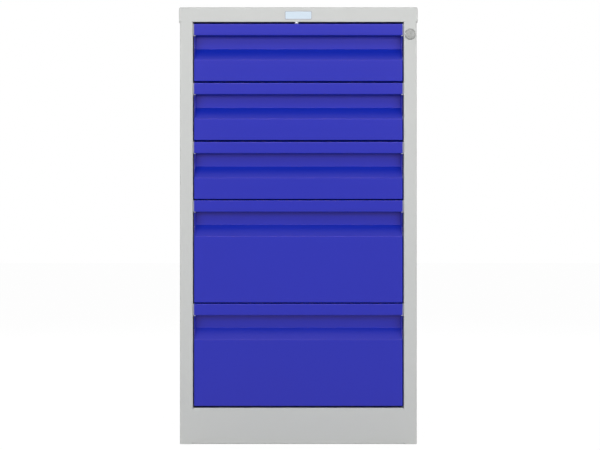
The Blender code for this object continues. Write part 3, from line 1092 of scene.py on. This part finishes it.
@dataclass
class HoodCap:
    """A moulded cap that closes one end of a drawer's hooded pull."""

    fitter: Fitter
    number: int
    side: Side
    lip_height: float = 0.0223
    depth: float = 0.018
    thick: float = 0.0017
    stand_off: float = 0.0002
    corner: float = 0.0016
    edge: float = 0.0004
    spigot: float = 0.0025
    spigot_inset: float = 0.0055
    toe_reach: float = 0.0026
    toe_height: float = 0.0011
    toe_depth: float = 0.006

    def build(self) -> None:
        """Moulds the cap: an outer plate, a spigot in the hood and a toe under the lip."""
        box = Extent.of(f"drawer_front_{self.number}")
        inner = box.high.x + self.stand_off
        outer = inner + self.thick
        front, foot = box.low.y + SLIT, box.high.z - self.lip_height
        plate = block((inner, front, foot), (outer, box.low.y + self.depth, box.high.z - SLIT))
        eased(rounded(plate, self.corner, Axis.X), self.edge)
        self._grow_spigot(plate)
        low = (inner - self.toe_reach, front + self.edge, foot - self.toe_height)
        toe = block(low, (outer - self.edge, front + self.toe_depth, foot + self.edge))
        shape = gathered([plate, eased(toe, self.edge)])
        if self.side is Side.LEFT:
            bmesh.ops.transform(shape, matrix=MIRROR, verts=shape.verts)
            bmesh.ops.reverse_faces(shape, faces=shape.faces)
        name = f"hood_cap_{self.side.word}_{self.number}"
        self.fitter.fit(name, shape, CAP_NYLON, f"drawer_{self.number}")

    def _grow_spigot(self, plate: Shape) -> None:
        """Grows the spigot from the plate's inner face.

        Args:
            plate: The cap's outer plate.
        """
        large = sorted(plate.faces, key=lambda face: face.calc_area())[-2:]
        inward = min(large, key=lambda face: face.calc_center_median().x)
        bmesh.ops.inset_region(
            plate, faces=[inward], thickness=self.spigot_inset, use_even_offset=True
        )
        grown = bmesh.ops.extrude_face_region(plate, geom=[inward])["geom"]
        bmesh.ops.delete(plate, geom=[inward], context="FACES_ONLY")
        bmesh.ops.translate(plate, vec=(-self.spigot, 0, 0), verts=verts_of(grown))
        bmesh.ops.recalc_face_normals(plate, faces=plate.faces)


@dataclass
class Drawer:
    """One drawer: its painted front, its box with hems, welds and fixings, and its hood caps."""

    fitter: Fitter
    number: int
    front_edge: float = 0.00022
    box_edge: float = 0.00018
    wall: float = 0.001
    hem_height: float = 0.0075
    hem_thick: float = 0.0012
    hem_corner: float = 0.0035
    hem_round: float = 0.0005
    screw_columns: int = 4
    screw_rise_shares: tuple[float, ...] = (0.28, 0.72)
    screw_margin: float = 0.045
    screw_sides: int = 6
    screw_hex: float = 0.0038
    screw_head: float = 0.0034
    screw_edge_share: float = 0.12
    washer: Head = Head(
        radius=0.0052, height=0.0011, outline=((0, 1), (0.8, 1), (1, 0.4)), steps=24
    )
    rivet: Head = Head(radius=0.0036, height=0.0011, outline=((0, 1), (0.5, 0.9), (0.85, 0.55)))
    rivet_shares: tuple[float, ...] = (0.08, 0.36, 0.64, 0.92)
    weld: Head = Head(
        radius=0.0026, height=0.00014, outline=((0, 0.3), (0.6, 0.4), (0.8, 1)), steps=16
    )
    weld_inset: float = 0.008
    weld_rise_shares: tuple[float, ...] = (0.2, 0.5, 0.8)

    def __post_init__(self) -> None:
        """Measures the drawer's box and its slides."""
        self.box = Extent.of(f"drawer_box_{self.number}")
        self.half = -self.box.low.x
        self.slide = Extent.of(f"slide_drawer_member_left_{self.number}")

    def build(self) -> None:
        """Builds the drawer."""
        sheets = (("front", BLUE_PAINT, self.front_edge), ("box", GREY_PAINT, self.box_edge))
        for word, paint, edge in sheets:
            name = f"drawer_{word}_sheet_{self.number}"
            self.fitter.take_over(f"drawer_{word}_{self.number}", paint, name, edge)
        self.build_hem()
        self.build_front_screws()
        self.build_slide_rivets()
        self.build_spot_welds()
        for side in Side:
            HoodCap(self.fitter, self.number, side).build()

    def build_hem(self) -> None:
        """Folds the rim of the box over to the inside all round."""
        bm = bmesh.new()
        bmesh.ops.create_grid(bm, x_segments=1, y_segments=1, size=HALF)
        inside = self.half - self.wall - HAIR
        front, rear = self.box.low.y + self.wall + HAIR, self.box.high.y - self.wall - HAIR
        size = Vector((2 * inside, rear - front, 1))
        middle = Vector((0, (front + rear) * HALF, self.box.high.z - HAIR))
        bmesh.ops.transform(bm, matrix=Matrix.LocRotScale(middle, None, size), verts=bm.verts)
        bmesh.ops.bevel(
            bm,
            geom=bm.verts[:],
            offset=self.hem_corner,
            segments=CORNER_STEPS,
            profile=0.5,
            affect="VERTICES",
            material=-1,
        )
        face = max(bm.faces, key=lambda f: f.calc_area())
        bmesh.ops.inset_region(
            bm, faces=[face], thickness=self.hem_thick, use_even_offset=True, use_boundary=True
        )
        bmesh.ops.delete(bm, geom=[face], context="FACES_ONLY")
        ring = list(bm.faces)
        grown = bmesh.ops.extrude_face_region(bm, geom=ring, use_keep_orig=True)["geom"]
        bmesh.ops.translate(bm, vec=(0, 0, -self.hem_height), verts=verts_of(grown))
        bmesh.ops.recalc_face_normals(bm, faces=bm.faces)
        self._fit("rim_hem", eased(bm, self.hem_round, FOLD_STEPS), GREY_PAINT)

    def build_front_screws(self) -> None:
        """Sets flanged hexagon screws that hold the front, inside the box's front wall."""
        head = bmesh.new()
        bmesh.ops.create_cone(
            head,
            cap_ends=True,
            segments=self.screw_sides,
            radius1=self.screw_hex,
            radius2=self.screw_hex,
            depth=self.screw_head,
        )
        lift = Matrix.Translation((0, 0, self.screw_head * HALF + self.washer.height * HALF))
        bmesh.ops.transform(head, matrix=Facing.REAR.turn() @ lift, verts=head.verts)
        eased(head, self.screw_hex * self.screw_edge_share)
        screw = gathered([self.washer.turn(Facing.REAR), head])
        reach = self.half - self.screw_margin
        y = self.box.low.y + self.wall
        places = [
            Vector((x, y, self.box.low.z + self.box.size.z * share))
            for x in evenly(-reach, reach, self.screw_columns)
            for share in self.screw_rise_shares
        ]
        self._fit("front_screws", repeated(screw, places), BAR_ZINC)

    def build_slide_rivets(self) -> None:
        """Sets the low rivet heads of the slides inside the box's side walls."""
        slide, rows = self.slide, []
        for side in Side:
            x = side.value * (self.half - self.wall)
            places = [
                Vector((x, slide.low.y + slide.size.y * share, slide.middle.z))
                for share in self.rivet_shares
            ]
            rows.append(repeated(self.rivet.turn(side.other.outward), places))
        self._fit("slide_rivets", gathered(rows), SLIDE_ZINC)

    def build_spot_welds(self) -> None:
        """Marks the spot welds of the box's rear corners on its side walls."""
        foot, y = self.box.low.z, self.box.high.y - self.weld_inset
        rise, rows = self.slide.low.z - foot, []
        for side in Side:
            x = side.value * self.half
            places = [Vector((x, y, foot + rise * share)) for share in self.weld_rise_shares]
            rows.append(repeated(self.weld.turn(side.outward), places))
        self._fit("box_spot_welds", gathered(rows), GREY_PAINT)

    def _fit(self, name: str, shape: Shape, finish: Finish) -> None:
        """Fits a piece to this drawer and adds the drawer's number to its name."""
        self.fitter.fit(f"{name}_{self.number}", shape, finish, f"drawer_{self.number}")


# Slides

@dataclass
class TelescopicSlide:
    """One slide: outer and inner members, a rolled middle member, ball rows and a lever."""

    fitter: Fitter
    number: int
    side: Side
    roll_edge: float = 0.0004
    sheet: float = 0.0012
    fold: float = 0.0011
    flange_drop: float = 0.0034  # from the node's top to the middle line of the flange
    lip_reach: float = 0.0022
    ball_radius: float = 0.00145
    ball_steps: tuple[int, int] = (8, 6)
    ball_pitch: float = 0.0125
    ball_rows_length: float = 0.25
    ball_rows_inset: float = 0.018
    ball_rise: float = 0.0012  # from the node's top down to the balls' middle
    cage_thick: float = 0.0004
    cage_margin: float = 0.0009
    cage_end: float = 0.006
    buffer_depth: float = 0.0014
    buffer_gap: float = 0.0001
    slot_length: float = 0.034
    slot_height: float = 0.006
    slot_round_share: float = 0.49  # under a half, so that the two roundings never meet
    slot_steps: int = 5
    slot_shares: tuple[float, ...] = (0.16, 0.39, 0.62, 0.85)
    lever_start: float = 0.184
    lever_length: float = 0.072
    lever_height: float = 0.011
    lever_thick: float = 0.0026
    lever_gap: float = 0.0003
    lever_tail_share: float = 0.6
    lever_corner_share: float = 0.3
    lever_edge: float = 0.0005
    pivot_share: float = 0.8  # of the lever's height, back from its front end
    pivot: Head = Head(
        radius=0.0042,
        height=0.0008,
        outline=((0, 1), (0.5, 1), (0.55, 0.5), (0.7, 0.5), (0.8, 1), (1, 0.7)),
        sink=0.0008,
        steps=24,
    )

    def __post_init__(self) -> None:
        """Names and measures the members."""
        self.tail = f"{self.side.word}_{self.number}"
        self.middle_node = f"slide_middle_member_{self.tail}"
        self.cabinet_node = f"slide_cabinet_member_{self.tail}"
        self.drawer_node = f"slide_drawer_member_{self.tail}"
        self.box = Extent.of(self.middle_node)
        self.rails = f"middle_rails_{self.number}"

    def across(self, inwards: float) -> float:
        """The x of a point given by its distance inwards from the middle member's web."""
        return self.box.face(self.side) - self.side.value * inwards

    def build(self) -> None:
        """Builds the slide."""
        for node in (self.cabinet_node, self.drawer_node):
            self.fitter.take_over(node, SLIDE_ZINC, f"{node}_rolled", self.roll_edge)
        self.build_middle_member()
        self.build_end_buffers()
        self.build_ball_rows()
        self.build_lever()

    def channel(self, box: Extent, drop: float, start: float, end: float) -> Shape:
        """Rolls a channel from one thin strip, open towards the drawer.

        Args:
            box: The box of the member that it follows.
            drop: From the box's top to the middle line of the flange.
            start: The first y.
            end: The last y.

        Returns:
            The channel.
        """
        outward = self.side.value
        edge = box.face(self.side)
        web = edge - outward * self.sheet * HALF
        lip = edge - outward * (box.size.x - self.sheet * HALF)
        high, low = box.high.z - drop, box.low.z + drop
        path = [
            (lip, high - self.lip_reach),
            (lip, high),
            (web, high),
            (web, low),
            (lip, low),
            (lip, low + self.lip_reach),
        ]
        skin = run_along(path, start, end, self.fold)
        bmesh.ops.solidify(skin, geom=skin.faces[:], thickness=self.sheet)
        xs = [vert.co.x for vert in skin.verts]
        outer = max(xs) if self.side is Side.RIGHT else min(xs)
        bmesh.ops.translate(skin, vec=(edge - outer, 0, 0), verts=skin.verts)
        bmesh.ops.recalc_face_normals(skin, faces=skin.faces)
        return skin

    def build_middle_member(self) -> None:
        """Rolls the middle member and punches its slots."""
        skin = self.channel(self.box, self.flange_drop, self.box.low.y, self.box.high.y)
        node = self.middle_node
        piece = self.fitter.fit(f"{node}_rolled", skin, SLIDE_ZINC, self.rails, node)
        cut_out(piece, self._slots(self.across(self.sheet * HALF)))

    def build_end_buffers(self) -> None:
        """Moulds near-black buffers on the front ends of the outer and middle members, as painted
        shade in the gaps beside the drawer fronts.
        """
        rows = (
            ("outer", Extent.of(self.cabinet_node), self.sheet * HALF, "cabinet"),
            ("middle", self.box, self.flange_drop, self.rails),
        )
        for word, box, drop, body in rows:
            end = box.low.y - self.buffer_gap
            shape = self.channel(box, drop, end - self.buffer_depth, end)
            self.fitter.fit(f"slide_buffer_{word}_{self.tail}", shape, DARK_NYLON_AND_GAP_SHADE, body)

    def _slots(self, web: float) -> Shape:
        """The oblong slots along the web.

        Args:
            web: The x of the web's middle line.

        Returns:
            One shape that fills them all.
        """
        reach = Vector((self.sheet * 2, self.slot_length * HALF, self.slot_height * HALF))
        end = self.slot_height * self.slot_round_share
        slot = rounded(block(-reach, reach), end, Axis.X, self.slot_steps)
        places = [
            Vector((web, self.box.low.y + self.box.size.y * share, self.box.middle.z))
            for share in self.slot_shares
        ]
        return repeated(slot, places)

    def build_ball_rows(self) -> None:
        """Sets the two outer ball rows and their cages where they stay between the members."""
        rear = self.box.high.y - self.ball_rows_inset
        front = rear - self.ball_rows_length
        count = int(self.ball_rows_length / self.ball_pitch)
        x = self.across(self.box.size.x * HALF - self.cage_margin * HALF)
        rise = self.box.size.z * HALF - self.ball_rise
        levels = [self.box.middle.z + rise * row for row in (-1, 1)]
        round_steps, high_steps = self.ball_steps
        ball = bmesh.new()
        bmesh.ops.create_uvsphere(
            ball, u_segments=round_steps, v_segments=high_steps, radius=self.ball_radius
        )
        places = [
            Vector((x, front + self.ball_pitch * (i + HALF), level))
            for i in range(count)
            for level in levels
        ]
        self.fitter.fit(f"ball_rows_{self.tail}", repeated(ball, places), BALL_STEEL, self.rails)
        cages = []
        wide = self.box.size.x * HALF - self.cage_margin
        thick = self.cage_thick * HALF
        for level in levels:
            low = (x - wide, front - self.cage_end, level - thick)
            cage = block(low, (x + wide, rear + self.cage_end, level + thick))
            cages.append(rounded(cage, wide * HALF, Axis.Z))
        self.fitter.fit(f"ball_cages_{self.tail}", gathered(cages), SLIDE_ZINC, self.rails)

    def build_lever(self) -> None:
        """Moulds the release lever that lies on the drawer member's web."""
        member = Extent.of(self.drawer_node)
        outward = self.side.value
        face = member.face(self.side.other) + outward * (self.sheet + self.lever_gap)
        root = face + outward * self.lever_thick
        front, level = member.low.y + self.lever_start, member.middle.z
        rise = self.lever_height * HALF
        arm = block((face, front, level - rise), (root, front + self.lever_length, level + rise))
        tail = [vert for vert in arm.verts if vert.co.y > front + self.lever_length * HALF]
        shrink = Matrix.Scale(self.lever_tail_share, 4, (0, 0, 1))
        space = Matrix.Translation((0, 0, -level))
        bmesh.ops.transform(arm, matrix=shrink, verts=tail, space=space)
        eased(rounded(arm, self.lever_height * self.lever_corner_share, Axis.X), self.lever_edge)
        centre = (root, front + self.lever_height * self.pivot_share, level)
        shape = gathered([arm, self.pivot.turn(self.side.outward, centre)])
        name = f"release_lever_{self.tail}"
        self.fitter.fit(name, shape, DARK_NYLON_AND_GAP_SHADE, f"drawer_{self.number}")


# Lock

@dataclass
class CentralLock:
    """The cylinder lock in the right post, with the bar and guides behind it."""

    fitter: Fitter
    steps: int = 64
    edge: float = 0.00012
    face_fall: float = 0.0002
    land_share: float = 0.9  # from the rim in to the groove, of the head's height
    groove: float = 0.0007
    groove_depth: float = 0.0003
    groove_shares: Profile = ((0, 0), (0.3, 1), (0.7, 1), (1, 0))  # of its width and depth
    bezel_shares: Profile = ((0.3, 0.12), (0.08, 0.3), (0, 0.55))  # in and down, of the height
    shutter_back: float = 0.0009
    shutter_thick: float = 0.0006
    shutter_play: float = 0.00012
    shutter_edge_share: float = 0.2
    key_slot_height: float = 0.006
    key_slot_width: float = 0.0012

    def build(self) -> None:
        """Builds the lock."""
        self.build_face()
        self.fitter.take_over("lock_plug", NICKEL, "lock_plug_turned", self.edge)
        self.build_shutter()
        for node in ("lock_clip", "lock_cam", "lock_bar"):
            self.fitter.take_over(node, BAR_ZINC, f"{node}_pressed", self.edge, 1)
        for node in ("bar_guide_upper", "bar_guide_lower"):
            self.fitter.take_over(node, DARK_NYLON_AND_GAP_SHADE, f"{node}_moulded", self.edge)

    def build_face(self) -> None:
        """Turns the housing with a dished bezel and a groove round its face."""
        box = Extent.of("lock_housing")
        bore = Extent.of("lock_plug").size.x * HALF + SLIT
        rim = box.size.x * HALF
        body = rim - (rim - bore) * HALF
        tip, root = -box.low.y, -box.high.y
        proud = Extent.of("side_panel_right").low.y - box.low.y
        land, seat = rim - proud * self.land_share, tip - proud + HAIR
        width, depth = self.groove, self.groove_depth
        profile = [
            (bore, root),
            (bore, tip - self.face_fall),
            (bore + self.face_fall, tip),
            *((land + width * out, tip - depth * down) for out, down in self.groove_shares),
            *((rim - proud * inset, tip - proud * down) for inset, down in self.bezel_shares),
            (rim, seat),
            (body, seat),
            (body, root),
        ]
        centre = (box.middle.x, 0, box.middle.z)
        shape = turned(profile, Facing.FRONT, centre, self.steps, ring=True)
        self.fitter.fit("lock_housing_turned", shape, NICKEL, "cabinet", "lock_housing")

    def build_shutter(self) -> None:
        """Sets the dust shutter just inside the key slot."""
        box, play = Extent.of("lock_plug"), self.shutter_play
        half = Vector((self.key_slot_width * HALF + play, 0, self.key_slot_height * HALF + play))
        low, high = box.middle - half, box.middle + half
        low.y = box.low.y + self.shutter_back
        high.y = low.y + self.shutter_thick
        shape = eased(block(low, high), self.shutter_thick * self.shutter_edge_share)
        self.fitter.fit("key_slot_shutter", shape, NICKEL, "lock_barrel")


# Studio

@dataclass(frozen=True)
class Softbox:
    """A rectangular lamp, or a pair of them. Places are taken from the foot of the post plane."""

    name: str
    place: Point
    target: Point
    size: tuple[float, float]
    power: float
    left_gain: float = 0.0  # the left lamp's power over the right one's, 0 for a single lamp

    def build(self, foot: Vector) -> None:
        """Hangs the lamp or the pair.

        Args:
            foot: The foot of the post plane.
        """
        place, target = Vector(self.place), Vector(self.target) + foot
        if self.left_gain:
            self._hang(f"{self.name}_right", place + foot, target, self.power)
            left = MIRROR @ place + foot
            self._hang(f"{self.name}_left", left, target, self.power * self.left_gain)
        else:
            self._hang(self.name, place + foot, target, self.power)

    def _hang(self, name: str, place: Vector, target: Vector, power: float) -> None:
        """Hangs one lamp.

        Args:
            name: The lamp's name.
            place: Where it hangs.
            target: The point that it faces.
            power: Its power.
        """
        data = bpy.data.lights.new(name, "AREA")
        data.shape = "RECTANGLE"
        data.size, data.size_y = self.size
        data.energy = power
        lamp = put_up(name, data)
        turn = (target - place).to_track_quat("-Z", "Y").to_matrix().to_4x4()
        lamp.matrix_world = Matrix.Translation(place) @ turn
        lamp.visible_camera = False


@dataclass
class Studio:
    """The floor, the white surroundings, the lamps and the camera at the photograph's place."""

    post_plane: float
    image_width: int = 600
    centre_column: float = 298.35
    eye_row: float = 225.0
    foot_row: float = 444.2
    metres_per_pixel: float = 0.0018985
    distance: float = 3.0
    sensor: float = 36.0
    level_degrees: float = 90.0  # up from straight down, so that the camera looks level
    floor_reach: float = 14.0
    floor_tone: Colour = (0.78, 0.78, 0.78)
    floor_roughness: float = 0.9
    mottle_scale: float = 3.0
    mottle_share: float = 0.02
    floor_white_share: float = 0.92
    floor_glow: float = 1.04
    sky_level: float = 0.35
    lamps: tuple[Softbox, ...] = (
        Softbox(
            "key_softbox",
            place=(1.1, -1.5, 1.0),
            target=(0.0, 0.0, 0.42),
            size=(1.0, 0.8),
            power=8.3,
            left_gain=1.04,
        ),
        Softbox(
            "front_softbox",
            place=(0.0, -2.2, 1.5),
            target=(0.0, 0.0, 0.5),
            size=(1.3, 0.5),
            power=3.0,
        ),
        Softbox(
            "top_softbox",
            place=(0.0, -1.25, 1.9),
            target=(0.0, 0.3, 0.6),
            size=(0.8, 0.35),
            power=7.0,
        ),
        Softbox(
            "rear_softbox",
            place=(1.7, 1.9, 1.7),
            target=(0.0, 0.3, 0.45),
            size=(2.2, 1.8),
            power=24.0,
            left_gain=1.0,
        ),
    )

    def build(self) -> None:
        """Builds the studio."""
        bpy.context.scene.view_settings.view_transform = "Standard"
        self.build_floor()
        self.build_world()
        for lamp in self.lamps:
            lamp.build(Vector((0, self.post_plane, 0)))
        self.build_camera()

    def _white_rays(self, shader: Shader) -> Value:
        """1 for the rays that see plain white, else 0."""
        rays = [shader.node("ShaderNodeLightPath", output=ray.value) for ray in Ray]
        return reduce(Value.most, rays)

    def build_floor(self) -> None:
        """Lays the floor, white to the camera but for the cabinet's shadow."""
        bm = bmesh.new()
        bmesh.ops.create_grid(bm, x_segments=1, y_segments=1, size=self.floor_reach)
        mesh = mesh_of(bm, "studio_floor")
        put_up("studio_floor", mesh)
        made = bpy.data.materials.new("studio_floor")
        shader = Shader(made)
        mottle = shader.noise(shader.place(), self.mottle_scale) - HALF
        tone = 1 + mottle * self.mottle_share
        colour = shader.tint(self.floor_tone, tone)
        shader.dress({"Base Color": colour, "Roughness": self.floor_roughness})
        surface = Value(shader, shader.tree.nodes["Principled BSDF"].outputs[0])
        white = shader.node("ShaderNodeEmission", None, {"Strength": self.floor_glow})
        share = self._white_rays(shader) * self.floor_white_share
        mixed = shader.node("ShaderNodeMixShader", None, {0: share, 1: surface, 2: white})
        shader.feed(shader.tree.nodes["Material Output"].inputs["Surface"], mixed)
        mesh.materials.append(made)

    def build_world(self) -> None:
        """Makes the surroundings white to the camera and a soft plain light to the rest."""
        world = bpy.data.worlds.new("studio_world")
        bpy.context.scene.world = world
        shader = Shader(world)
        background = shader.tree.nodes["Background"]
        shader.feed(background.inputs["Color"], (1.0, 1.0, 1.0))
        strength = self.sky_level + self._white_rays(shader) * (1 - self.sky_level)
        shader.feed(background.inputs["Strength"], strength)

    def build_camera(self) -> None:
        """Stands the camera square before the cabinet, as far off as the photograph's was."""
        data = bpy.data.cameras.new("photo_camera")
        data.sensor_width = self.sensor
        data.lens = self.sensor * self.distance / (self.metres_per_pixel * self.image_width)
        camera = put_up("photo_camera", data)
        across = (self.image_width * HALF - self.centre_column) * self.metres_per_pixel
        height = (self.foot_row - self.eye_row) * self.metres_per_pixel
        camera.location = (across, self.post_plane - self.distance, height)
        camera.rotation_euler = (math.radians(self.level_degrees), 0, 0)
        bpy.context.scene.camera = camera


def main() -> None:
    """Builds the dressed cabinet and its studio."""
    logging.basicConfig(level=logging.INFO, format="%(name)s: %(message)s")
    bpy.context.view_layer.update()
    fitter = Fitter()
    Studio(Extent.of("side_panel_left").low.y).build()
    Carcass(fitter).build()
    FrontTrim(fitter).build()
    for number in DRAWERS:
        Drawer(fitter, number).build()
        for side in Side:
            TelescopicSlide(fitter, number, side).build()
    CentralLock(fitter).build()
    LOG.info("%d pieces fitted", fitter.count)


if __name__ == "__main__":
    main()
